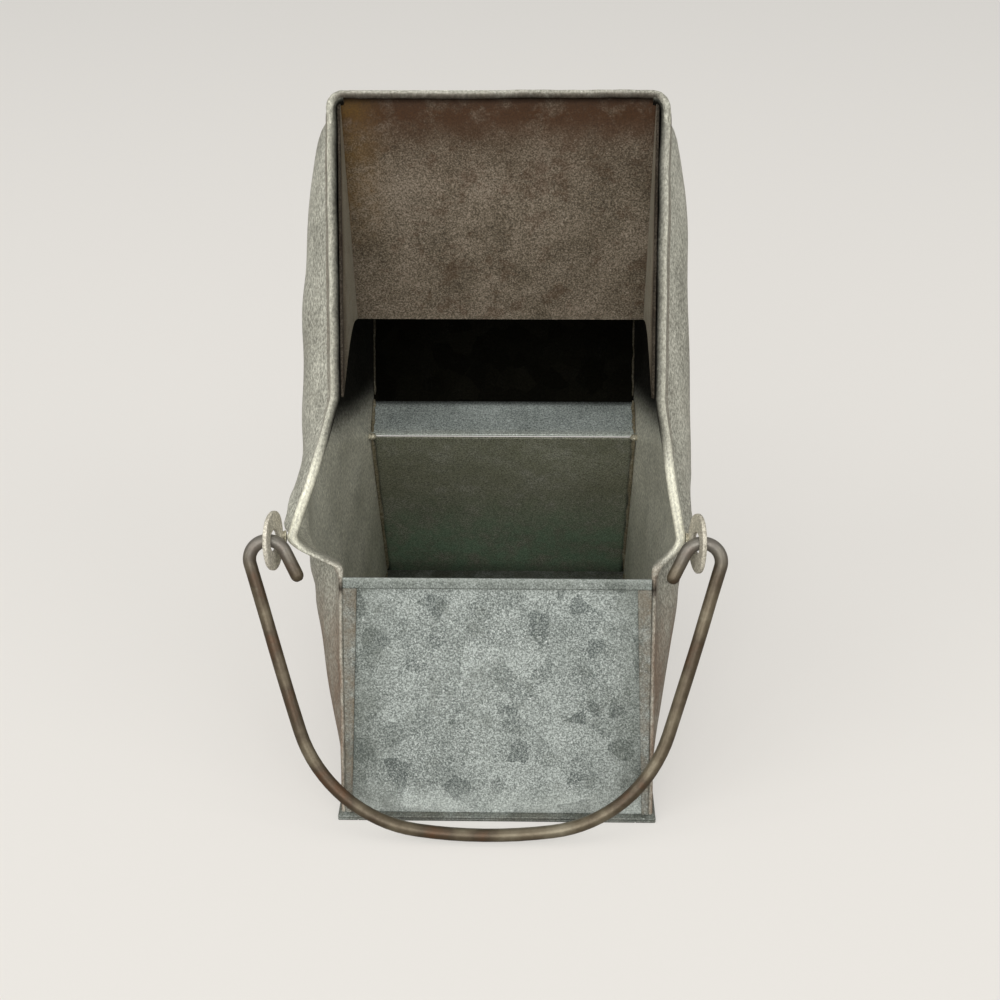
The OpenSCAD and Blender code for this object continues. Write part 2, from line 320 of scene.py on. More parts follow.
@dataclass(frozen=True)
class WireFinish:
    """Drawn iron wire, its black oxide worn to grey in places and rusted brown elsewhere."""

    name: str = "drawn_iron_wire_rusted"
    dark: str = "#4b4031"
    mid: str = "#645a48"
    light: str = "#827a67"
    rust: str = "#553d29"
    worn: str = "#93918a"
    wear_mm: float = 11.0
    pit_mm: float = 0.7
    pit_depth_mm: float = 0.06
    metallic: float = 0.5
    roughness: float = 0.4

    @cache
    def make(self) -> bpy.types.Material:
        """Build the material on its first use.

        Returns:
            The material, ready to assign.
        """
        material, add = start_material(self.name)
        place = add("TexCoord", output="Object")
        wear, pits = (
            add("TexNoise", {"Vector": place, "Scale": per_metre(size), "Detail": detail,
                             "Roughness": rough})
            for size, detail, rough in ((self.wear_mm, 5.0, 0.55), (self.pit_mm, 4.0, 0.5)))
        colour = add("ValToRGB", {0: wear}, stops=((0.32, self.rust), (0.44, self.dark), (0.56, self.mid),
                                                   (0.72, self.light)))
        bright = add("Attribute", output="Fac", attribute_name=Mark.PALE.value)
        colour = add("Mix", {0: bright, 6: colour, 7: linear(self.worn)}, 2, data_type="RGBA")
        rough = add("Math", {0: pits, 1: 0.35, 2: self.roughness - 0.15}, operation="MULTIPLY_ADD")
        bump = add("Bump", {"Height": pits, "Strength": 0.5, "Distance": self.pit_depth_mm * METRE})
        return finish_shader(material, {"Base Color": colour, "Roughness": rough, "Normal": bump,
                                        "Metallic": self.metallic})


# Drawn iron wire of the bail: smooth, round and dark, brown with rust and greyer where it was rubbed
BAIL_WIRE = WireFinish()


# Mesh helpers

# Waves of a hand-made sheet: how many are added, and what brings their sum to about 1
RIPPLE_WAVES = 7
RIPPLE_PEAK = 4.0
# The waves of a sheet die out this close to its edges
EDGE_EASE_MM = 8.0
# Rows of a rounded corner, as shares of its radius
CORNER_STEPS = np.array([0.04, 0.12, 0.25, 0.45, 0.7, 1.0])
BEVEL_SEGMENTS = 2


def ripple(a: np.ndarray, b: np.ndarray, wave_mm: float, seed: int) -> np.ndarray:
    """Smooth hand-made waviness, the same on each run.

    Args:
        a: First coordinate in mm.
        b: Second coordinate in mm.
        wave_mm: Length of the waves.
        seed: Picks the set of waves.

    Returns:
        Values from about -1 to 1.
    """
    rng = np.random.default_rng(seed)
    total = np.zeros(np.broadcast(a, b).shape)
    for _ in range(RIPPLE_WAVES):
        turn, phase = rng.uniform(0, math.tau), rng.uniform(0, math.tau)
        length = wave_mm * rng.uniform(0.6, 1.7)
        total = total + np.sin((a * math.cos(turn) + b * math.sin(turn)) * math.tau / length + phase)
    return total / RIPPLE_PEAK


def smooth_step(x: np.ndarray | float, low: float, high: float) -> np.ndarray:
    """Value 0 at low and 1 at high, with a smooth change between."""
    t = np.clip((x - low) / (high - low), 0, 1)
    return t * t * (3 - 2 * t)


def bell(x: np.ndarray | float, middle: float, width: float) -> np.ndarray:
    """Value 1 at a middle, falling off smoothly over a width on both sides."""
    return np.exp(-((x - middle) / width) ** 2)


def grid_faces(rows: int, columns: int, start: int = 0, wrap: bool = False) -> list[tuple[int, ...]]:
    """Quads of a grid of points, row after row.

    Args:
        rows: Number of rows.
        columns: Points in each row.
        start: Index of the first point.
        wrap: Whether each row closes on itself.

    Returns:
        The quads.
    """
    faces = []
    for r in range(rows - 1):
        for c in range(columns if wrap else columns - 1):
            d = (c + 1) % columns
            a, b = start + r * columns, start + (r + 1) * columns
            faces.append((a + c, a + d, b + d, b + c))
    return faces


def tube_faces(rows: int, sides: int) -> list[tuple[int, ...]]:
    """Quads of a tube of points, row after row, with a flat face on each end.

    Args:
        rows: Number of rows along the tube.
        sides: Points round it.

    Returns:
        The faces.
    """
    last = (rows - 1) * sides
    ends = [tuple(range(sides - 1, -1, -1)), tuple(range(last, last + sides))]
    return grid_faces(rows, sides, wrap=True) + ends


@dataclass
class Mesh:
    """Points in mm and faces, with marks for the finish."""

    points: np.ndarray
    faces: list[tuple[int, ...]]
    marks: Marks = field(default_factory=dict)

    @staticmethod
    def join(parts: Sequence["Mesh"]) -> "Mesh":
        """Put several meshes into one.

        Args:
            parts: The meshes.

        Returns:
            One mesh with all their points, faces and marks.
        """
        points, faces, marks, start = [], [], {m: [] for m in Mark}, 0
        for part in parts:
            points.append(part.points)
            faces += [tuple(i + start for i in f) for f in part.faces]
            for m in Mark:
                marks[m].append(part.marks.get(m, np.zeros(len(part.points))))
            start += len(part.points)
        return Mesh(np.concatenate(points), faces, {m: np.concatenate(v) for m, v in marks.items()})


def two_skins(front: np.ndarray, back: np.ndarray) -> Mesh:
    """Closed sheet between two grids of points.

    Args:
        front: Points of one skin, rows by columns by 3, in mm.
        back: Points of the other skin, the same shape.

    Returns:
        The closed mesh.
    """
    rows, columns = front.shape[:2]
    count = rows * columns
    faces = grid_faces(rows, columns)
    faces += [tuple(reversed(f)) for f in grid_faces(rows, columns, count)]
    rim = [*range(columns), *((r + 1) * columns - 1 for r in range(1, rows)),
           *((rows - 1) * columns + c for c in range(columns - 2, -1, -1)),
           *(r * columns for r in range(rows - 2, 0, -1))]
    for i, a in enumerate(rim):
        b = rim[(i + 1) % len(rim)]
        faces.append((b, a, a + count, b + count))
    return Mesh(np.concatenate([front.reshape(-1, 3), back.reshape(-1, 3)]), faces)


def sweep(path: np.ndarray, section: Callable[[int], np.ndarray]) -> Mesh:
    """Sweep a section along an open path, without twist.

    Args:
        path: Points in mm.
        section: Gives the outline at a station, as points across and up.

    Returns:
        The swept mesh, with flat ends.
    """
    ahead = np.gradient(path, axis=0)
    ahead = ahead / np.linalg.norm(ahead, axis=1)[:, None]
    side = np.cross(ahead[0], (0.3, 0.9, 0.2))
    rows = []
    for i, middle in enumerate(path):
        side = side - ahead[i] * (side @ ahead[i])
        side = side / np.linalg.norm(side)
        outline = section(i)
        rows.append(middle + outline[:, :1] * side + outline[:, 1:] * np.cross(ahead[i], side))
    return Mesh(np.concatenate(rows), tube_faces(len(rows), len(rows[0])))


def ring_section(radius: float, sides: int = 16) -> np.ndarray:
    """Circle of points, for a sweep."""
    a = np.linspace(0, math.tau, sides, endpoint=False)
    return radius * np.stack([np.cos(a), np.sin(a)], 1)


def place_piece(name: str, mesh: Mesh, finish: SheetFinish | WireFinish, body: str = "shell",
                replaces: Sequence[str] = (), bevel_mm: float = 0.0, crease_deg: float = 38.0) -> None:
    """Make one piece and let it ride on the frame.

    Args:
        name: Name of the piece.
        mesh: Its points, faces and marks.
        finish: Its finish.
        body: CAD body that it rides on.
        replaces: CAD nodes that it stands for.
        bevel_mm: Width of rounding on its sharp edges.
        crease_deg: Angle above which an edge stays sharp.
    """
    data = bpy.data.meshes.new(name)
    data.from_pydata((mesh.points * METRE).tolist(), [], mesh.faces)
    data.validate()
    for mark, values in mesh.marks.items():
        if np.any(values > 0):
            layer = data.attributes.new(mark.value, "FLOAT", "POINT")
            layer.data.foreach_set("value", np.clip(values, 0, 1).astype(np.float32))
    data.materials.append(finish.make())
    data.polygons.foreach_set("use_smooth", [True] * len(data.polygons))
    data.set_sharp_from_angle(angle=math.radians(crease_deg))
    piece = bpy.data.objects.new(name, data)
    bpy.context.scene.collection.objects.link(piece)
    bpy.context.view_layer.objects.active = piece
    piece.select_set(True)
    bpy.ops.object.mode_set(mode="EDIT")
    bpy.ops.mesh.select_all(action="SELECT")
    bpy.ops.mesh.normals_make_consistent(inside=False)
    bpy.ops.object.mode_set(mode="OBJECT")
    piece.select_set(False)
    if bevel_mm:
        rounding = piece.modifiers.new("rounded_edges", "BEVEL")
        rounding.width = bevel_mm * METRE
        rounding.segments = BEVEL_SEGMENTS
        rounding.limit_method = "ANGLE"
        rounding.angle_limit = math.radians(crease_deg)
    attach(piece, body)
    if replaces:
        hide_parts(*replaces)
    LOG.info("%s: %d points, rides on %s", name, len(mesh.points), body)


# Sizes and outline of the body


@dataclass(frozen=True)
class PailSizes:
    """Driving sizes of the pail in mm and degrees, the same as in its CAD source."""

    inner_w: float = 75.0
    base_d: float = 121.0
    body_h: float = 167.5
    front_lean: float = 18.0
    sheet_t: float = 0.7
    front_plate_l: float = 61.0
    front_hem_h: float = 4.0
    front_seam_w: float = 3.5
    ridge_h: float = 60.5
    lower_back_lean: float = 24.0
    ledge_d: float = 10.5
    ledge_rise: float = 6.0
    upper_back_h: float = 46.0
    upper_back_lean: float = 22.0
    hood_drop: float = 61.5
    hood_lean: float = 12.7
    hood_foot_s: float = 105.0
    rim_r: float = 0.9
    belly_left: float = 12.0
    belly_right: float = 10.0
    belly_place: float = 0.37
    belly_ease: float = 10.0
    flare_left: float = 11.4
    flare_right: float = 5.7
    flare_reach: float = 14.0
    side_hem_w: float = 4.5
    side_hem_t: float = 2.3
    side_seam_t: float = 1.2
    fold_rise: float = 2.5
    base_hem_t: float = 1.4
    base_hem_w: float = 5.0
    base_lip: float = 1.2
    ear_s: float = 71.0
    ear_proud: float = 4.2
    ear_t: float = 1.2
    ear_h: float = 14.4
    ear_w: float = 10.4
    ear_turn: float = 14.0
    ear_air: float = 0.5
    hole_air: float = 1.0
    wire_d: float = 3.2
    bail_l: float = 71.9
    bail_swing: float = 22.0
    grip_turn: float = 8.0
    corner_r: float = 34.0
    leg_splay: float = 16.0
    hook_r: float = 4.5
    hook_lead: float = 1.2
    tip_turn: float = 64.0
    tip_l: float = 8.0


@dataclass
class Outline:
    """Side outline of the body in the Y-Z plane."""

    sizes: PailSizes

    def __post_init__(self) -> None:
        """Work out the corners."""
        sizes = self.sizes
        lean = math.radians(sizes.front_lean)
        self.slope = np.array([math.sin(lean), math.cos(lean)])
        self.inward = np.array([math.cos(lean), -math.sin(lean)])
        self.foot_front = np.array([sizes.base_hem_t * math.tan(lean), sizes.base_hem_t])
        self.rim = np.array([sizes.body_h * math.tan(lean), sizes.body_h])
        self.front_top = sizes.front_plate_l * self.slope
        self.foot_rear = np.array([sizes.base_d, sizes.base_hem_t])
        run = (sizes.ridge_h - sizes.base_hem_t) * math.tan(math.radians(sizes.lower_back_lean))
        self.ridge = np.array([sizes.base_d - run, sizes.ridge_h])
        self.ledge_back = self.ridge + (sizes.ledge_d, sizes.ledge_rise)
        out = sizes.upper_back_h * math.tan(math.radians(sizes.upper_back_lean))
        self.eave = self.ledge_back + (out, sizes.upper_back_h)
        self.hood_low = self.rim + sizes.hood_drop * np.array([math.tan(math.radians(sizes.hood_lean)), -1])

    @staticmethod
    def into(a: np.ndarray, b: np.ndarray) -> np.ndarray:
        """Unit normal of the line from a to b, on the side of the body."""
        d = (b - a) / np.linalg.norm(b - a)
        return np.array([d[1], -d[0]])

    def front(self, up: float, depth: float = 0.0) -> np.ndarray:
        """Point of a height up the front plane and a depth behind it."""
        return up * self.slope + depth * self.inward


@dataclass
class SubAssembly:
    """Group of pieces that are built along the outline of the body."""

    outline: Outline

    @property
    def sizes(self) -> PailSizes:
        """Sizes of the pail."""
        return self.outline.sizes

    def build(self) -> None:
        """Make the pieces of the group."""
        raise NotImplementedError


# Sheets of the body


@dataclass
class Panel:
    """Flat sheet between two lines across the body, beaten by hand.

    The lines lie at the points a and b of the Y-Z plane, the thickness goes along the normal, and
    corner_r rounds the two corners at b.
    """

    a: np.ndarray
    b: np.ndarray
    normal: np.ndarray
    width: float
    thickness: float
    wave_mm: float = 34.0
    wave_height: float = 0.22
    seed: int = 1
    centre_x: float = 0.0
    pitch_mm: float = 1.6
    corner_r: float = 0.0

    def mesh(self, mark: Marker | None = None, far_mark: Marker | None = None) -> Mesh:
        """Build the sheet.

        Args:
            mark: Gives the marks of the face on the line, from the distances across and up.
            far_mark: The same for the face that the normal points to.

        Returns:
            The closed sheet.
        """
        length = float(np.linalg.norm(self.b - self.a))
        x = np.linspace(-self.width / 2, self.width / 2, max(3, int(self.width / self.pitch_mm)))
        u = np.linspace(0, length, max(3, int(length / self.pitch_mm)))
        u = np.unique(np.concatenate([u, length - self.corner_r * CORNER_STEPS]))
        grid_x, grid_u = np.meshgrid(x, u)
        if self.corner_r:
            below = np.clip(1 - (length - grid_u) / self.corner_r, 0, 1)
            cut = self.corner_r * (1 - np.sqrt(1 - below ** 2))
            grid_x = grid_x * (1 - 2 * cut / self.width)
        ahead = (self.b - self.a) / length
        edge = np.minimum(np.minimum(grid_x + self.width / 2, self.width / 2 - grid_x),
                          np.minimum(grid_u, length - grid_u))
        wave = self.wave_height * ripple(grid_x, grid_u, self.wave_mm, self.seed)
        wave = wave * smooth_step(edge, 0, EDGE_EASE_MM)
        skins = []
        for depth in (0.0, self.thickness):
            yz = self.a + grid_u[..., None] * ahead + (depth + wave)[..., None] * self.normal
            skins.append(np.concatenate([(grid_x + self.centre_x)[..., None], yz], 2))
        made = two_skins(*skins)
        nothing = np.zeros(grid_x.shape)
        near, far = (give(grid_x, grid_u) if give else {} for give in (mark, far_mark))
        made.marks = {m: np.concatenate([near.get(m, nothing).ravel(), far.get(m, nothing).ravel()])
                      for m in Mark}
        return made


@dataclass
class Shell(SubAssembly):
    """Front plate, back plates, roof, hood and base of the pail."""

    gap: float = 0.02
    hem_share: float = 0.6
    hem_rise: float = 0.25
    strip_taper: float = 0.45
    bead_tail: float = 6.0
    bead_wave: float = 0.16
    bead_inset: float = 0.16
    flange_rows: int = 26
    flange_columns: int = 9

    def build(self) -> None:
        """Make every sheet of the shell but the two sides."""
        self._front_plate()
        self._back_plates()
        self._roof()
        self._hood()
        self._base()

    def _front_plate(self) -> None:
        """Spangled plate with a folded hem on top and down both sides."""
        o, s = self.outline, self.sizes
        foot = o.foot_front + self.gap * o.slope
        length = float(np.linalg.norm(o.front_top - foot))
        hem_low = o.front_top - self.hem_share * s.front_hem_h * o.slope

        def marks(x: np.ndarray, u: np.ndarray) -> Marks:
            """Pale frost along the foot, and darker just below the hem and along both sides.

            Args:
                x: Distances across the plate.
                u: Distances up it.

            Returns:
                The marks.
            """
            side = smooth_step(np.abs(x) / (s.inner_w / 2), 0.6, 0.94)
            return {Mark.PALE: 0.4 * (1 - smooth_step(u, 0.5, 9)),
                    Mark.GRIME: 0.4 * smooth_step(u, length - 5, length) + 0.45 * side}

        plate = Panel(foot, o.front_top, o.inward, s.inner_w, s.sheet_t, wave_height=0.3, seed=4,
                      pitch_mm=1.2)
        top = Panel(hem_low, o.front_top + self.hem_rise * o.slope, -o.inward, s.inner_w, s.sheet_t,
                    wave_mm=21, wave_height=0.12, seed=8)
        # The top edge of the hem is painted pale as a highlight
        parts = [plate.mesh(marks), top.mesh(far_mark=lambda x, u: {
            Mark.GRIME: 0.5 + 0 * u, Mark.PALE: 0.25 * smooth_step(u, 1.9, 2.5)})]
        for side in Side:
            strip = Panel(foot, hem_low, -o.inward, s.front_seam_w, s.sheet_t, wave_mm=27, wave_height=0.1,
                          seed=11 + side, centre_x=side * (s.inner_w - s.front_seam_w) / 2, pitch_mm=0.8)
            made = strip.mesh(far_mark=lambda x, u: {
                Mark.GRIME: 0.3 + 0 * u, Mark.RUST: 0.75 + 0.25 * np.sin(x * 5.1),
                Mark.PALE: 0.45 * smooth_step(-np.abs(x), -0.2 * s.front_seam_w, 0) + 0 * u})
            # The strips taper towards the foot
            edge = side * s.inner_w / 2
            share = np.clip((made.points[:, 1:] - foot) @ o.slope / length, 0, 1)
            narrow = self.strip_taper + (1 - self.strip_taper) * share
            made.points[:, 0] = edge + (made.points[:, 0] - edge) * narrow
            parts.append(made)
        place_piece("spangled_front_plate", Mesh.join(parts), PLATE_ZINC,
                    replaces=["front_plate"], bevel_mm=0.22)

    def _back_plates(self) -> None:
        """Lower back, ledge and upper back."""
        o, s = self.outline, self.sizes

        def low_marks(x: np.ndarray, u: np.ndarray) -> Marks:
            """Olive all over, green damp low down, and painted shade along both side edges and the foot.

            Args:
                x: Distances across the sheet.
                u: Distances up it.

            Returns:
                The marks.
            """
            side = smooth_step(np.abs(x) / (s.inner_w / 2), 0.95, 0.985)
            return {Mark.RUST: 0.55 * (1 - smooth_step(u, 12, 44)), Mark.GRIME: 0.7 + 0 * u,
                    Mark.SOOT: 0.75 * side + 0.3 * (1 - smooth_step(u, 1, 7))}

        low = Panel(o.foot_rear, o.ridge, o.into(o.ridge, o.foot_rear), s.inner_w, s.sheet_t, seed=21,
                    wave_height=0.35)
        place_piece("damp_lower_back", low.mesh(far_mark=low_marks), BACK_ZINC,
                    replaces=["lower_back"], bevel_mm=0.2)
        ledge = Panel(o.ridge, o.ledge_back, o.into(o.ledge_back, o.ridge), s.inner_w, s.sheet_t, seed=23,
                      wave_mm=24, wave_height=0.25, pitch_mm=0.9)
        # The front edge is painted pale as a highlight, and the back is painted black as the hood's shadow
        place_piece("painted_lit_ledge", ledge.mesh(far_mark=lambda x, u: {
            Mark.PALE: 0.25 * (1 - smooth_step(u, 0.6, 2.4)), Mark.SOOT: 0.9 * smooth_step(u, 9.5, 12)}),
            LIT_LEDGE_ZINC, replaces=["ledge"], bevel_mm=0.3)
        high = Panel(o.ledge_back, o.eave, o.into(o.eave, o.ledge_back), s.inner_w, s.sheet_t, seed=25,
                     corner_r=SideSheet.shoulder_r + s.sheet_t)
        # The upper back is painted black all over as the shade deep in the throat
        place_piece("painted_shade_upper_back", high.mesh(far_mark=lambda x, u: {
            Mark.GRIME: 1 + 0 * u, Mark.SOOT: 0.97 + 0 * u}), BACK_ZINC,
            replaces=["upper_back"], bevel_mm=0.2)

    def _roof(self) -> None:
        """Roof sheet with the rolled bead of the rim, bent down at both corners."""
        o, s = self.outline, self.sizes
        normal = o.into(o.rim, o.eave)
        # It laps a little over the rounded shoulders of the side sheets
        flat_w = s.inner_w + 2 * s.sheet_t - 2 * SideSheet.shoulder_r + 0.6
        roof = Panel(o.rim, o.eave, normal, flat_w, s.sheet_t, seed=31, wave_height=0.3)
        place_piece("roof_with_rolled_rim", Mesh.join([roof.mesh(), self._bead(normal)]), SIDE_ZINC,
                    replaces=["roof"], bevel_mm=0.15)

    def _bead(self, normal: np.ndarray) -> Mesh:
        """Rolled bead along the rim, from one side hem over the top to the other.

        Args:
            normal: Direction from the roof into the body.

        Returns:
            The bead.
        """
        o, s = self.outline, self.sizes
        big, small = SideSheet.shoulder_r, SideSheet.shoulder_r - s.rim_r
        centre = s.inner_w / 2 + s.side_hem_t - big
        drop = float(-o.slope @ normal)
        turn = np.linspace(0, math.pi / 2, 12)
        tail = np.linspace(self.bead_tail, 1, 6)
        x = np.concatenate([centre + small - 0.05 * tail, centre + small * np.cos(turn)])
        h = np.concatenate([big + tail, big - small * np.sin(turn)])
        top_x = np.linspace(centre, -centre, 40)[1:-1]
        x = np.concatenate([x, top_x, -x[::-1]])
        h = np.concatenate([h, np.full(len(top_x), h[-1]), h[::-1]])
        h = h + self.bead_wave * ripple(x, h, 30, 5)
        # The ends run down into the hems and lie deeper there
        deeper = self.bead_inset * np.clip(h - big, 0, None)
        yz = o.rim[:, None] - o.slope[:, None] * h / drop + o.inward[:, None] * deeper
        path = np.stack([x, *yz], 1)
        station = np.minimum(np.arange(len(x)), np.arange(len(x))[::-1]).astype(float)
        radius = s.rim_r * (0.3 + 0.7 * smooth_step(station, 0, 8))
        made = sweep(path, lambda i: ring_section(radius[i] * (1 + 0.05 * math.sin(1.9 * i))))
        rise = (made.points.reshape(len(path), -1, 3) - path[:, None])[..., 1:] @ o.slope / s.rim_r
        along = np.repeat(smooth_step(station, 8, 18), len(made.points) // len(x))
        top = smooth_step(rise.ravel(), -0.2, 0.7)
        # A painted highlight along the top of the bead and painted shade under it; the even grime and the
        # pale ends are wear
        made.marks = {Mark.PALE: 0.08 * top + 0.12 * (1 - along),
                      Mark.GRIME: (0.25 + 0.65 * (1 - top)) * along, Mark.SOOT: 0.5 * (1 - top) * along}
        return made

    def _hood(self) -> None:
        """Hood panel and the flanges that reach forward to the side hems."""
        o, s = self.outline, self.sizes
        face = (o.hood_low - o.rim) / np.linalg.norm(o.hood_low - o.rim)
        back = np.array([-face[1], face[0]])
        top = o.rim + (2 * s.rim_r + self.gap) * face
        length = float(np.linalg.norm(o.hood_low - top))

        def marks(x: np.ndarray, u: np.ndarray) -> Marks:
            """Brown stain under the rim, a thin line of painted shadow right under it, and ochre down the
            left.

            Args:
                x: Distances across the panel.
                u: Distances down it.

            Returns:
                The marks.
            """
            left = 1 - smooth_step(x, -36, -24)
            # The thin line right under the rim is painted black as shadow
            return {Mark.GRIME: 0.95 * (1 - smooth_step(u, 2, 15)) + 0.25 * (1 - smooth_step(u, 10, 30)),
                    Mark.RUST: 0.75 * left * (1 - smooth_step(u, 24, 46)),
                    Mark.SOOT: 0.8 * (1 - smooth_step(u, 0.3, 2.2)),
                    Mark.PALE: 0.15 * smooth_step(u, length - 1.2, length)}

        panel = Panel(top, o.hood_low, back, s.inner_w - 2 * s.sheet_t, s.sheet_t, seed=41, wave_height=0.3,
                      wave_mm=24)
        foot, toe = o.front(s.hood_foot_s), o.front(s.hood_foot_s, s.side_hem_w)
        hollow = (toe + o.hood_low) / 2 + np.linalg.norm(o.hood_low - toe) / 4 * o.slope
        flanges = [self._flange(side, top, foot, hollow) for side in Side]
        place_piece("hood_panel_with_flanges", Mesh.join([panel.mesh(marks), *flanges]), HOOD_ZINC,
                    replaces=["hood_tray"], bevel_mm=0.15)

    def _flange(self, side: Side, top: np.ndarray, foot: np.ndarray, hollow: np.ndarray) -> Mesh:
        """One flange of the hood: a fan of thin sheet from the panel's line to the front plane.

        Args:
            side: Side that it is on.
            top: Its top in the Y-Z plane.
            foot: Its foot on the front plane.
            hollow: Middle of its hollow lower edge.

        Returns:
            The closed flange.
        """
        low = self.outline.hood_low
        rows, columns = self.flange_rows, self.flange_columns
        t = np.linspace(0, 1, rows)[:, None]
        share = np.linspace(0, 1, columns)
        front, end = top + (foot - top) * t, top + (low - top) * t
        grid = front[:, None] + (end - front)[:, None] * share[None, :, None]
        bend = np.sin(math.pi * share)[None, :, None] * smooth_step(t, 0.8, 1.0)[:, None]
        grid = grid + bend * (hollow - (foot + low) / 2) * 0.7
        skins = []
        for depth in (0.0, self.sizes.sheet_t):
            x = np.full((rows, columns, 1), side * (self.sizes.inner_w / 2 - 0.25 - depth))
            skins.append(np.concatenate([x, grid], 2))
        made = two_skins(*skins)
        # Pale all over but along its front edge, which is painted black as shade where it meets the hem
        across = np.tile(share, 2 * rows)
        made.marks = {Mark.PALE: 0.75 * smooth_step(across, 0.1, 0.4),
                      Mark.SOOT: 0.7 * (1 - smooth_step(across, 0, 0.12))}
        return made

    def _base(self) -> None:
        """Base sheet with its edge folded under."""
        s = self.sizes
        width = s.inner_w + 2 * (s.sheet_t + s.base_lip)
        near, far = -s.base_lip, s.base_d + s.base_lip
        strips = [(near, far, s.sheet_t, width, s.base_hem_t - s.sheet_t, 0.0)]
        for side in Side:
            edge = near if side is Side.LEFT else far - s.base_hem_w
            strips += [(near, far, 0.0, s.base_hem_w, s.sheet_t, side * (width - s.base_hem_w) / 2),
                       (edge, edge + s.base_hem_w, 0.0, width - 2 * s.base_hem_w, s.sheet_t, 0.0)]
        parts = []
        for start, end, z, across, thickness, centre_x in strips:
            part = Panel(np.array([start, z]), np.array([end, z]), np.array([0.0, 1.0]), across, thickness,
                         wave_height=0.0, centre_x=centre_x).mesh()
            part.marks[Mark.GRIME] = np.full(len(part.points), 0.55)
            part.marks[Mark.RUST] = np.full(len(part.points), 0.25)
            parts.append(part)
        place_piece("base_with_folded_edge", Mesh.join(parts), PLATE_ZINC,
                    replaces=["base_plate"], bevel_mm=0.25)


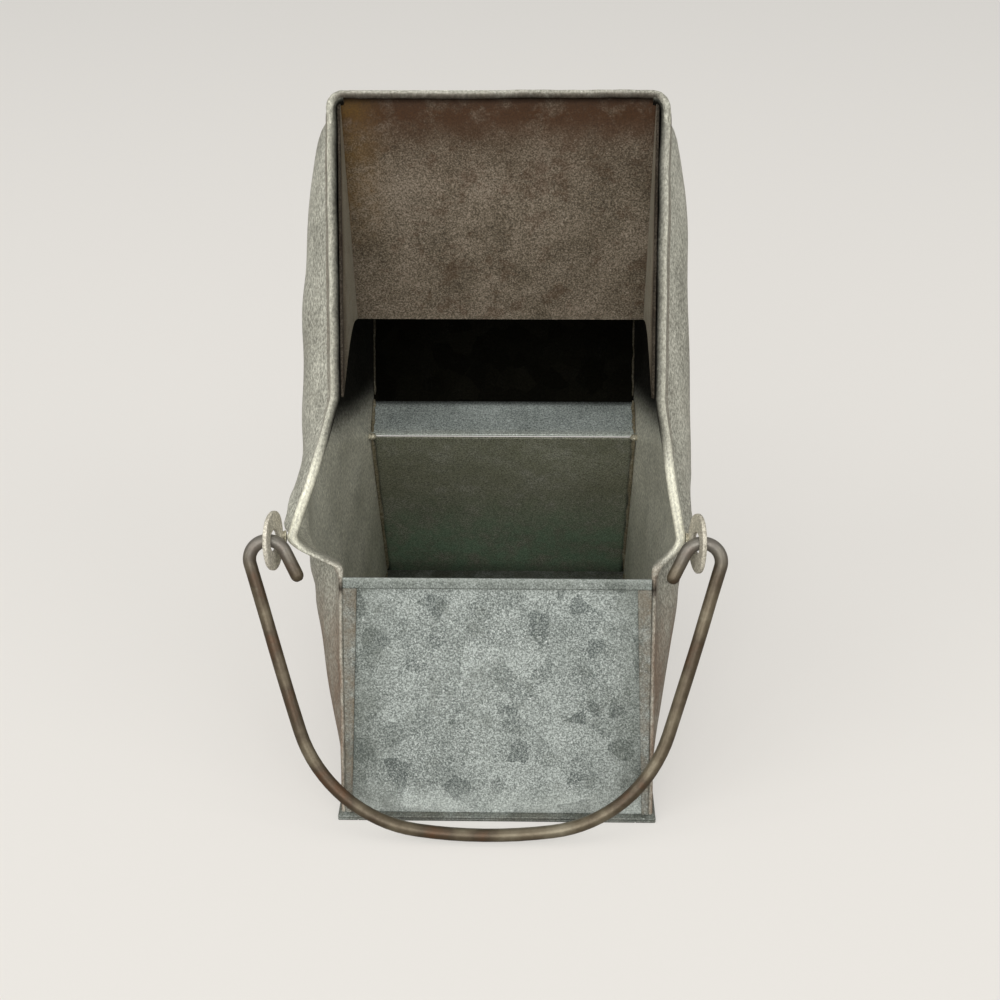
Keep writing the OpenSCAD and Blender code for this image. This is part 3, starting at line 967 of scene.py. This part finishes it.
@dataclass
class SideSheet(SubAssembly):
    """Bellied side sheet with a folded hem down its front edge, flared at the ear.

    A height v is a share of the front edge: v_ridge and v_ledge belong to the back's two corners.
    """

    side: Side
    shoulder_r: float = 4.0
    fold_d: float = 10.5
    v_ridge: float = 0.5
    v_ledge: float = 0.57
    rows: int = 96
    dent: float = 0.45
    edge_wave: float = 0.18

    def __post_init__(self) -> None:
        """Work out the side's own sizes and the heights that its form turns at."""
        s = self.sizes
        left = self.side is Side.LEFT
        self.flare, self.belly = (s.flare_left, s.belly_left) if left else (s.flare_right, s.belly_right)
        foot = float(np.linalg.norm(self.outline.foot_front))
        self.edge_l = float(np.linalg.norm(self.outline.rim - self.outline.foot_front))
        self.v_plate = float(np.linalg.norm(self.outline.front_top - self.outline.foot_front)) / self.edge_l
        self.v_fold = self.v_plate + s.fold_rise / self.edge_l
        self.v_ear = (s.ear_s - foot) / self.edge_l
        self.v_hood = (s.hood_foot_s - foot) / self.edge_l

    def _back_end(self, v: np.ndarray) -> np.ndarray:
        """Point of each row on the back outline.

        Args:
            v: Heights of the rows as shares of the front edge.

        Returns:
            Points in the Y-Z plane.
        """
        o = self.outline
        turns = [0, self.v_ridge, self.v_ledge, 1]
        corners = np.stack([o.foot_rear, o.ridge, o.ledge_back, o.eave])
        return np.stack([np.interp(v, turns, corners[:, k]) for k in (0, 1)], 1)

    def _flare_at(self, v: np.ndarray) -> np.ndarray:
        """Share of the flare along the front edge.

        Args:
            v: Heights of the rows as shares of the front edge.

        Returns:
            0 at both ends of the flare and 1 at the ear.
        """
        up = np.clip((v - self.v_fold) / (self.v_ear - self.v_fold), 0, 1)
        down = np.clip((self.v_hood - v) / (self.v_hood - self.v_ear), 0, 1)
        return np.where(v < self.v_ear, np.sin(up * math.pi / 2) ** 1.15, down ** 1.1)

    def _belly_in(self, q: np.ndarray) -> np.ndarray:
        """Share of the belly along the depth.

        Args:
            q: Depths as shares of the row's length.

        Returns:
            0 at both ends of the row and 1 at the belly's middle.
        """
        skew = math.log(0.5) / math.log(self.sizes.belly_place)
        wave = np.maximum(0, np.sin(math.pi * np.clip(q, 0, 1) ** skew))
        return wave ** np.where(q < self.sizes.belly_place, 0.55, 1.0)

    def _fold_at(self, share: float) -> float:
        """Distance from the front edge to the fold line, where the flare has this share."""
        return self.fold_d * (0.35 + 0.65 * share)

    def _lip_in(self, d: np.ndarray, share: float) -> np.ndarray:
        """Profile of the flare behind the front edge, with the fold line where it was bent out.

        Args:
            d: Distances from the front edge in mm.
            share: Share of the flare in this row.

        Returns:
            1 at the edge, falling to 0 behind the fold.
        """
        fold = self._fold_at(share)
        return np.where(d < fold, 1 - 0.26 * d / fold, 0.74 * bell(d, fold, self.sizes.flare_reach / 2))

    def _section(self, length: float) -> np.ndarray:
        """Points round one row: distance from the front edge, share of the way out, and hem share.

        Args:
            length: Length of the row.

        Returns:
            The points, from the back along the inner face, round the hem and back.
        """
        hem_w = self.sizes.side_hem_w
        depths = np.concatenate([np.linspace(length, 15, 28), np.linspace(14, 5.5, 14),
                                 np.linspace(4.8, 0.9, 6)])
        inner = [(d, 0.0, float(d < hem_w)) for d in depths]
        nose = [(0.8 - 0.8 * math.sin(a), 0.5 - 0.5 * math.cos(a), 1.0)
                for a in np.linspace(0.3, math.pi - 0.3, 8)]
        hem = [(d, 1.0, 1.0) for d in np.linspace(0.9, hem_w - 0.3, 6)]
        step = [(hem_w, 0.8, 1.0), (hem_w + 0.1, 0.55, 1.0), (hem_w + 0.25, 0.99, 0.0)]
        depths = np.concatenate([np.linspace(hem_w + 0.8, 9, 5), np.linspace(11, length, 30)])
        return np.array(inner + nose + hem + step + [(d, 1.0, 0.0) for d in depths])

    def mesh(self) -> Mesh:
        """Build the side sheet.

        Returns:
            The closed sheet with its marks.
        """
        o, s = self.outline, self.sizes
        v = np.unique(np.concatenate([np.linspace(0, 1, self.rows), [self.v_plate, self.v_ear, self.v_hood],
                                      np.linspace(self.v_plate, self.v_ear, 12),
                                      1 - np.array([0.004, 0.008, 0.014, 0.02, 0.027])]))
        front = o.foot_front + v[:, None] * (o.rim - o.foot_front)
        back = self._back_end(v)
        roof_n = o.into(o.rim, o.eave)
        swell_v = np.maximum(0, np.sin(math.pi * v)) ** np.where(v < 0.5, 0.7, 0.25)
        flare_v = self._flare_at(v)
        rows, marks = [], {m: [] for m in Mark}
        for j, value in enumerate(v):
            span = back[j] - front[j]
            length = float(np.linalg.norm(span))
            d, out, hem = self._section(length).T
            yz = front[j] + d[:, None] * span / length
            swell = self.belly * self._belly_in(d / length) * swell_v[j] * (1 - bell(d, 0, s.belly_ease))
            lip = self.flare * flare_v[j] * self._lip_in(d, flare_v[j])
            hem_t = np.interp(value, [self.v_plate, self.v_fold], [s.side_seam_t, s.side_hem_t])
            t = np.where(hem > 0, hem_t, s.sheet_t)
            up, down = value * self.edge_l, (1 - value) * self.edge_l
            fade = (smooth_step(d, 1, 16) * smooth_step(length - d, 0, 12)
                    * smooth_step(up, 2, 14) * smooth_step(down, 3, 16))
            dent = self.dent * ripple(yz[:, 0], yz[:, 1], 26, 60 + self.side) * fade
            edge_wave = self.edge_wave * ripple(up, 0 * d, 19, 70 + self.side)
            edge_wave = edge_wave * np.exp(-d / 6) * smooth_step(value, 0.02, 0.08)
            x = s.inner_w / 2 + swell + lip + dent + self._creases(value, d) + edge_wave
            # The top bends over in a round shoulder towards the roof
            rise = (yz - o.rim) @ roof_n
            angle = np.arcsin(np.clip((self.shoulder_r - rise) / self.shoulder_r, 0, 1))
            outer_x = x + t - self.shoulder_r * (1 - np.cos(angle))
            inner_x = x + t - self.shoulder_r + (self.shoulder_r - t) * np.cos(angle)
            x = inner_x + (outer_x - inner_x) * out
            yz = yz + ((1 - out) * t * np.sin(angle))[:, None] * roof_n
            rows.append(np.concatenate([self.side * x[:, None], yz], 1))
            self._mark(marks, value, d, out, hem, yz)
        return Mesh(np.concatenate(rows), tube_faces(len(rows), len(rows[0])),
                    {m: np.concatenate(parts) for m, parts in marks.items()})

    def _creases(self, value: float, d: np.ndarray) -> np.ndarray:
        """Soft folds that fan out from the ear where the rim was pulled outward.

        Args:
            value: Height of the row as a share of the front edge.
            d: Distances from the front edge in mm.

        Returns:
            Inward and outward push in mm.
        """
        push = np.zeros(len(d))
        for far_v, far_d, height in ((0.30, 20.0, 0.9), (0.12, 46.0, -0.7), (0.50, 30.0, 0.5)):
            share = (value - self.v_ear) / (far_v - self.v_ear)
            if 0 < share < 1.15:
                line = 3 + share * (far_d - 3)
                width = 1.6 + 3.4 * share
                push += height * math.sin(min(1.0, share) * math.pi) * bell(d, line, width)
        return push * self.flare / self.sizes.flare_left

    def _mark(self, marks: dict[Mark, list[np.ndarray]], value: float, d: np.ndarray, out: np.ndarray,
              hem: np.ndarray, yz: np.ndarray) -> None:
        """Add the marks of one row.

        Args:
            marks: Lists that the row's marks are added to.
            value: Height of the row as a share of the front edge.
            d: Distances from the front edge in mm.
            out: 0 on the inner face and 1 on the outer one.
            hem: 1 on the folded hem.
            yz: Points of the row in the Y-Z plane.
        """
        hem_w, inner = self.sizes.side_hem_w, 1 - out
        share = float(self._flare_at(np.array([value]))[0])
        facet = self._fold_at(share)
        # Where on the sheet the row's points are
        near_ear = bell(value, self.v_ear + 0.05, 0.12)
        above = smooth_step(value, self.v_fold, self.v_fold + 0.04)
        low = 1 - smooth_step(value, self.v_plate - 0.16, self.v_plate + 0.02)
        nose = bell(d, 0, 2.6)
        edge = np.maximum(bell(d, 0.4, 0.5), bell(d, hem_w, 0.7) * inner)
        height = yz @ self.outline.slope - self.sizes.ear_s
        throat = smooth_step(yz[:, 1], 62, 74) * smooth_step(height, 14, 28) * inner
        fold = bell(d, facet + 0.5, 0.9) * share * inner
        seam = bell(value, self.v_plate, 0.022) * nose
        gap = bell(value, self.v_plate - 0.014, 0.01) * bell(d, 0, 1.6)
        # Cream wear on the hem in short strokes; the inner face is painted paler outside the throat, as
        # light that reaches in, and the facet before the fold is painted bright as a highlight, dimmed on
        # the fold line
        stroke = 0.62 + 0.38 * np.cos(np.arange(len(d)) * 2.4)
        pale = (0.1 + 0.9 * near_ear) * nose * above * stroke + 0.28 * edge * hem * above
        pale = pale + 0.46 * inner * (1 - throat) * (1 - hem)
        pale = pale + 0.35 * share * inner * (1 - hem) * smooth_step(-d, -facet, -facet + 1)
        pale = pale * (1 - 0.8 * fold)
        rust = 0.3 * low * bell(d, 0, 4) + 0.6 * seam + 0.45 * low * out
        rust = rust + 0.2 * (hem * (out > 0) * (d > hem_w - 0.6))
        # The fold line is painted dark as the shade in the crease
        grime = 0.9 * fold + 0.6 * low * out + 0.6 * hem * above * (1 - edge) * (1 - near_ear)
        # The throat and the gap at the front edge just below the plate's top are painted black as shade
        for mark, values in ((Mark.PALE, pale), (Mark.RUST, rust), (Mark.GRIME, grime),
                             (Mark.SOOT, 0.95 * throat + 0.8 * gap)):
            marks[mark].append(values)

    def build(self) -> None:
        """Make the side sheet."""
        word = self.side.word
        place_piece(f"{word}_side_with_hem", self.mesh(), SIDE_ZINC, replaces=[f"{word}_side"],
                    crease_deg=40)


@dataclass
class Solder(SubAssembly):
    """Wiped solder along the inner seams, with blobs at the ridge's corners."""

    seam_sides: int = 10
    blob_rows: int = 12
    blob_sides: int = 16

    def _seam(self, x: float, a: np.ndarray, b: np.ndarray, radius: float, seed: int, soot: float) -> Mesh:
        """One seam as a thin uneven fillet.

        Args:
            x: Place across the body.
            a: First end in the Y-Z plane.
            b: Second end in the Y-Z plane.
            radius: Usual radius of the fillet in mm.
            seed: Picks its unevenness.
            soot: How black it is painted, as shade in the throat.

        Returns:
            The fillet.
        """
        count = max(12, int(np.linalg.norm(b - a) / 1.1))
        t = np.linspace(0, 1, count)
        yz = a + (b - a) * t[:, None]
        uneven = ripple(t * 60, 0 * t, 9, seed)
        path = np.stack([x - math.copysign(0.15, x) * (1 + uneven), *yz.T], 1)
        ends = smooth_step(np.minimum(t, 1 - t), -0.01, 0.04)
        radii = radius * (1 + 0.3 * uneven) * (0.35 + 0.65 * ends)
        made = sweep(path, lambda i: ring_section(radii[i], self.seam_sides))
        made.marks = {Mark.GRIME: np.full(len(made.points), 0.7), Mark.SOOT: np.full(len(made.points), soot)}
        return made

    def build(self) -> None:
        """Make the seams and the blobs."""
        o, s = self.outline, self.sizes
        back_n, high_n = o.into(o.ridge, o.foot_rear), o.into(o.eave, o.ledge_back)
        up = (o.eave - o.ledge_back) / np.linalg.norm(o.eave - o.ledge_back)
        inset = (s.sheet_t + 0.2) * high_n
        # Lower back, upper back inside the dark throat, ledge, and base: ends, radius, seed and painted
        # shade
        lines = ((o.foot_rear + 0.9 * back_n + (0, 1.0), o.ridge + 0.9 * back_n, 0.5, 3, 0.0),
                 (o.ledge_back + 2 * up + inset, o.eave - 9 * up + inset, 0.35, 7, 0.72),
                 (o.ridge + (0.4, 0.9), o.ledge_back + (-0.8, 1.0), 0.45, 13, 0.0),
                 (o.foot_front + (3.0, 0.5), o.foot_rear - (3.0, -0.5), 0.45, 17, 0.0))
        seams, blobs = [], []
        for side in Side:
            x = side * (s.inner_w / 2 - 0.1)
            seams += [self._seam(x, a, b, radius, seed + side, soot) for a, b, radius, seed, soot in lines]
            blobs.append(self._blob(np.array([x, *(o.ridge + (-0.7, 0.1))]), (1.3, 1.0, 1.0), 31 + side))
        place_piece("solder_seams", Mesh.join(seams), SOLDER)
        place_piece("solder_blobs", Mesh.join(blobs), SOLDER)

    def _blob(self, centre: np.ndarray, radii: tuple[float, float, float], seed: int) -> Mesh:
        """One blob of solder.

        Args:
            centre: Its middle in mm.
            radii: Its half sizes in mm.
            seed: Picks its unevenness.

        Returns:
            The blob.
        """
        lat = np.linspace(0.12, math.pi - 0.12, self.blob_rows)
        lon = np.linspace(0, math.tau, self.blob_sides, endpoint=False)
        grid_a, grid_b = np.meshgrid(lat, lon, indexing="ij")
        size = 1 + 0.14 * ripple(grid_a * 3, np.cos(grid_b) * 3, 4, seed)
        unit = np.stack([np.sin(grid_a) * np.cos(grid_b), np.sin(grid_a) * np.sin(grid_b),
                         np.cos(grid_a)], 2)
        points = centre + unit * size[..., None] * np.array(radii)
        return Mesh(points.reshape(-1, 3), tube_faces(self.blob_rows, self.blob_sides))


# Ears and bail


@dataclass
class Ears(SubAssembly):
    """Two oblong washer-like ears, each soldered to its side hem."""

    ring_steps: int = 72
    edge_steps: int = 24
    edge_power: float = 0.4
    lug_sides: int = 16

    def __post_init__(self) -> None:
        """Work out the places of the ears and the axis of the bail."""
        s = self.sizes
        self.turned = s.ear_w / 2 * math.sin(math.radians(s.ear_turn))
        hold = s.inner_w / 2 + s.side_hem_t + s.ear_air + s.ear_t / 2 + self.turned
        self.x_left, self.x_right = hold + s.flare_left, hold + s.flare_right
        self.axis = self.outline.front(s.ear_s, -s.ear_proud)

    def _to_body(self, points: np.ndarray, side: Side, turn: float) -> np.ndarray:
        """Move points of an ear, given as out, inward and up the slope, into the frame.

        Args:
            points: Points in the ear's own directions.
            side: Side that it is on.
            turn: Turn of the ear towards the front in degrees.

        Returns:
            Points in the frame in mm.
        """
        angle = math.radians(turn)
        out = points[:, 0] * math.cos(angle) - points[:, 1] * math.sin(angle)
        inward = points[:, 0] * math.sin(angle) + points[:, 1] * math.cos(angle)
        yz = self.axis + inward[:, None] * self.outline.inward + points[:, 2:] * self.outline.slope
        ear_x = self.x_left if side is Side.LEFT else self.x_right
        return np.concatenate([side * (ear_x + out)[:, None], yz], 1)

    def _ring(self, side: Side) -> Mesh:
        """Oblong washer with a round hole and worn, rounded edges.

        Args:
            side: Side that it is on.

        Returns:
            The ring.
        """
        s = self.sizes
        hole_r, end_r, straight = s.wire_d / 2 + s.hole_air, s.ear_w / 2, (s.ear_h - s.ear_w) / 2
        corner = np.linspace(0, math.tau, self.edge_steps, endpoint=False)
        share, out = (np.sign(wave) * np.abs(wave) ** self.edge_power
                      for wave in (np.cos(corner), np.sin(corner)))
        rows = []
        for angle in np.linspace(0, math.tau, self.ring_steps, endpoint=False):
            ahead = np.array([math.cos(angle), math.sin(angle)])
            # The straight sides add to the round ends, most where the ring points up or down
            rise = min(1.0, abs(ahead[1]) / max(1e-6, abs(ahead[0]))) * abs(ahead[1])
            far = end_r * ahead + (0, math.copysign(straight, ahead[1]) * rise ** 0.5)
            near = hole_r * ahead
            worn = 1 + 0.02 * math.sin(3 * angle + side)
            flat = near + (0.5 + 0.5 * share[:, None]) * (far * worn - near)
            rows.append(np.concatenate([s.ear_t / 2 * out[:, None], flat], 1))
        points = self._to_body(np.concatenate(rows), side, s.ear_turn)
        faces = grid_faces(len(rows) + 1, self.edge_steps, wrap=True)
        return Mesh(points, [tuple(i % len(points) for i in face) for face in faces])

    def _lug(self, side: Side) -> Mesh:
        """Wiped blob of solder between the ear and the hem.

        Args:
            side: Side that it is on.

        Returns:
            The lug.
        """
        s = self.sizes
        start = -self.turned - s.ear_t / 2 - s.ear_air
        radius = 1.2 * np.array([0.85, 1.0, 0.96, 0.9, 0.86, 0.84, 0.8, 0.68, 0.4])
        out = np.linspace(start, start + s.ear_t + s.ear_air, len(radius))
        path = np.stack([out, np.full(len(out), s.ear_proud + 1.2), 0.3 * np.sin(out)], 1)
        a = np.linspace(0, math.tau, self.lug_sides, endpoint=False)
        rows = [p + np.stack([0 * a, r * np.cos(a), 1.5 * r * np.sin(a)], 1) for p, r in zip(path, radius)]
        return Mesh(self._to_body(np.concatenate(rows), side, 0), tube_faces(len(rows), self.lug_sides))

    def build(self) -> None:
        """Make both ears with their solder."""
        for side in Side:
            place_piece(f"{side.word}_washer_ear", self._ring(side), EAR_TIN,
                        replaces=[f"{side.word}_ear"], crease_deg=50)
            place_piece(f"{side.word}_ear_solder", self._lug(side), SOLDER)


@dataclass
class Bail(SubAssembly):
    """Wire bail, bent by hand, with a hook through each ear."""

    ears: Ears
    sides: int = 20
    step_deg: float = 4.0
    step_mm: float = 2.2
    tip_round: float = 1.6
    tip_steps: tuple[float, ...] = (1.9, 1.6, 1.2, 0.8, 0.45, 0.2, 0.06, 0.0)
    bend_across: float = 0.3
    bend_out: float = 0.35

    def _half(self) -> np.ndarray:
        """Stations of half the bail, from the middle of the grip to the tip.

        Returns:
            Points across and up in the bail's own plane, in mm.
        """
        s = self.sizes
        grip, lead = math.radians(s.grip_turn), math.radians(90 - s.leg_splay)
        corner_run = s.corner_r * (math.sin(lead) - math.sin(grip))
        rise = s.bail_l - s.hook_r * (1 + math.cos(lead)) - s.corner_r * (math.cos(grip) - math.cos(lead))
        hook_x = (self.ears.x_left + self.ears.x_right) / 2 + s.hook_lead
        foot_x = hook_x + s.hook_r * math.sin(lead) - rise / math.tan(lead)
        grip_half = (foot_x - corner_run) / (1 - math.tan(grip / 2) / math.tan(lead))
        leg = (rise - grip_half * math.tan(grip / 2)) / math.sin(lead)
        steps = [(grip_half / math.sin(grip), grip), (s.corner_r, lead - grip), (leg, 0.0),
                 (s.hook_r, math.pi - lead + math.radians(s.tip_turn)), (s.tip_l, 0.0)]
        place, heading = np.array([0.0, -s.bail_l]), 0.0
        points = []
        for size, turn in steps:
            count = (max(4, int(turn / math.radians(self.step_deg))) if turn
                     else max(3, int(size / self.step_mm)))
            if turn:
                centre = place + size * np.array([-math.sin(heading), math.cos(heading)])
                for k in range(1, count + 1):
                    a = heading + turn * k / count
                    points.append(centre + size * np.array([math.sin(a), -math.cos(a)]))
                heading += turn
            else:
                ahead = np.array([math.cos(heading), math.sin(heading)])
                points += [place + ahead * size * k / count for k in range(1, count + 1)]
            place = points[-1]
        # Close stations at the tip, for its rounded end
        ahead = np.array([math.cos(heading), math.sin(heading)])
        points = points[:-1] + [place - ahead * back for back in self.tip_steps]
        return np.array(points)

    def build(self) -> None:
        """Make the bail."""
        s = self.sizes
        right = self._half()
        flat = np.concatenate([right[::-1] * (-1, 1), [[0.0, -s.bail_l]], right])
        run = np.concatenate([[0], np.cumsum(np.linalg.norm(np.diff(flat, axis=0), axis=1))])
        # Bent by hand: the wire wanders a little, but not in its hooks
        hang = smooth_step(-flat[:, 1], 6, 24)
        out = self.bend_out * ripple(run, 0 * run, 46, 91) * hang
        across = flat[:, 0] + self.bend_across * ripple(run, 0 * run, 60, 95) * hang
        swing = math.radians(s.bail_swing)
        axis = self.ears.axis
        path = np.stack([across + (self.ears.x_right - self.ears.x_left) / 2,
                         axis[0] - out * math.cos(swing) + flat[:, 1] * math.sin(swing),
                         axis[1] + out * math.sin(swing) + flat[:, 1] * math.cos(swing)], 1)
        inside = np.clip(1 - np.minimum(run, run[-1] - run) / self.tip_round, 0, 1)
        radius = s.wire_d / 2 * np.sqrt(1 - 0.86 * inside ** 2) * (1 + 0.012 * ripple(run, 0 * run, 14, 97))
        made = sweep(path, lambda i: ring_section(float(radius[i]), self.sides))
        height = np.repeat(-flat[:, 1], self.sides)
        made.marks = {Mark.PALE: 0.55 * (1 - smooth_step(height, -2, 9))}
        place_piece("hooked_wire_bail", made, BAIL_WIRE, body="bail", replaces=["bail"],
                    crease_deg=60)


# Studio


@dataclass(frozen=True)
class Studio:
    """Pale floor, soft light and the photograph's camera."""

    floor_colour: str = "#98948e"
    floor_glow: float = 0.5
    glow_colour: str = "#f6f4f0"
    floor_half_m: float = 60.0
    world_colour: str = "#f4f3f0"
    world_light: float = 0.45
    backdrop_light: float = 0.72
    aim_m: tuple[float, float, float] = (0.0, 0.05, 0.08)
    lamps: tuple[tuple[str, tuple[float, float, float], float, float], ...] = (
        ("front_softbox", (-0.1, -1.35, 0.8), 1.2, 16),
        ("left_softbox", (-1.25, -0.7, 0.9), 1.1, 10),
        ("right_softbox", (1.25, -0.75, 0.9), 1.1, 8),
        ("overhead_softbox", (-0.1, 0.0, 1.3), 1.0, 3))
    focal_px: float = 1552.0
    frame_px: float = 1000.0
    sensor_mm: float = 36.0
    clip_m: tuple[float, float] = (0.01, 20.0)
    eye_mm: tuple[float, float, float] = (8.4, -305.7, 249.0)
    ahead: tuple[float, float, float] = (-0.0207, 0.8863, -0.4625)
    roll_deg: float = -0.3

    def build(self) -> None:
        """Make the floor, the lamps, the world and the camera."""
        self._floor()
        self._world()
        for lamp in self.lamps:
            self._lamp(*lamp)
        self._camera()

    def _floor(self) -> None:
        """Large pale floor."""
        half = self.floor_half_m
        data = bpy.data.meshes.new("studio_floor")
        data.from_pydata([(-half, -half, 0), (half, -half, 0), (half, half, 0), (-half, half, 0)], [],
                         [(0, 1, 2, 3)])
        # Uncoated paper, rolled: no gloss, and pale to the camera without more light on the pail
        material, add = start_material("matt_paper_floor")
        grain = add("TexNoise", {"Scale": per_metre(2)})
        bump = add("Bump", {"Height": grain, "Strength": 0.05, "Distance": 0.2 * METRE})
        glow = add("MapRange", {0: add("LightPath", output="Is Camera Ray"), 3: 0.0, 4: self.floor_glow})
        data.materials.append(finish_shader(material, {
            "Base Color": linear(self.floor_colour), "Roughness": 0.9, "Normal": bump,
            "Emission Color": linear(self.glow_colour), "Emission Strength": glow}))
        floor = bpy.data.objects.new("studio_floor", data)
        bpy.context.scene.collection.objects.link(floor)

    def _world(self) -> None:
        """Soft light from all round, paler where the camera sees it behind the floor."""
        world = bpy.data.worlds.new("studio_world")
        world.use_nodes = True
        bpy.context.scene.world = world
        tree = world.node_tree
        seen = add_node(tree, "LightPath", output="Is Camera Ray")
        strength = add_node(tree, "MapRange", {0: seen, 3: self.world_light, 4: self.backdrop_light})
        fill_sockets(tree, tree.nodes["Background"], {"Color": linear(self.world_colour),
                                                      "Strength": strength})

    def _lamp(self, name: str, place: tuple[float, float, float], size: float, power: float) -> None:
        """Square area lamp that points at the pail.

        Args:
            name: Name of the lamp.
            place: Where it hangs, in metres.
            size: Side length in metres.
            power: Power in watts.
        """
        data = bpy.data.lights.new(name, "AREA")
        data.size = size
        data.energy = power
        lamp = bpy.data.objects.new(name, data)
        lamp.location = place
        lamp.rotation_euler = (Vector(self.aim_m) - Vector(place)).to_track_quat("-Z", "Y").to_euler()
        bpy.context.scene.collection.objects.link(lamp)

    def _camera(self) -> None:
        """Camera at the photograph's place and angle."""
        data = bpy.data.cameras.new("photo_camera")
        data.sensor_width = self.sensor_mm
        data.lens = self.focal_px / self.frame_px * self.sensor_mm
        data.clip_start, data.clip_end = self.clip_m
        camera = bpy.data.objects.new("photo_camera", data)
        turn = Vector(self.ahead).to_track_quat("-Z", "Y").to_matrix().to_4x4()
        camera.matrix_world = (Matrix.Translation(Vector(self.eye_mm) * METRE) @ turn
                               @ Matrix.Rotation(math.radians(self.roll_deg), 4, "Z"))
        bpy.context.scene.collection.objects.link(camera)
        bpy.context.scene.camera = camera


def main() -> None:
    logging.basicConfig(level=logging.INFO, format="%(name)s %(message)s")
    bpy.context.scene.view_settings.view_transform = "Standard"
    outline = Outline(PailSizes())
    ears = Ears(outline)
    groups = [Shell(outline), *(SideSheet(outline, side) for side in Side), Solder(outline), ears,
              Bail(outline, ears)]
    for group in groups:
        group.build()
    Studio().build()


if __name__ == "__main__":
    main()
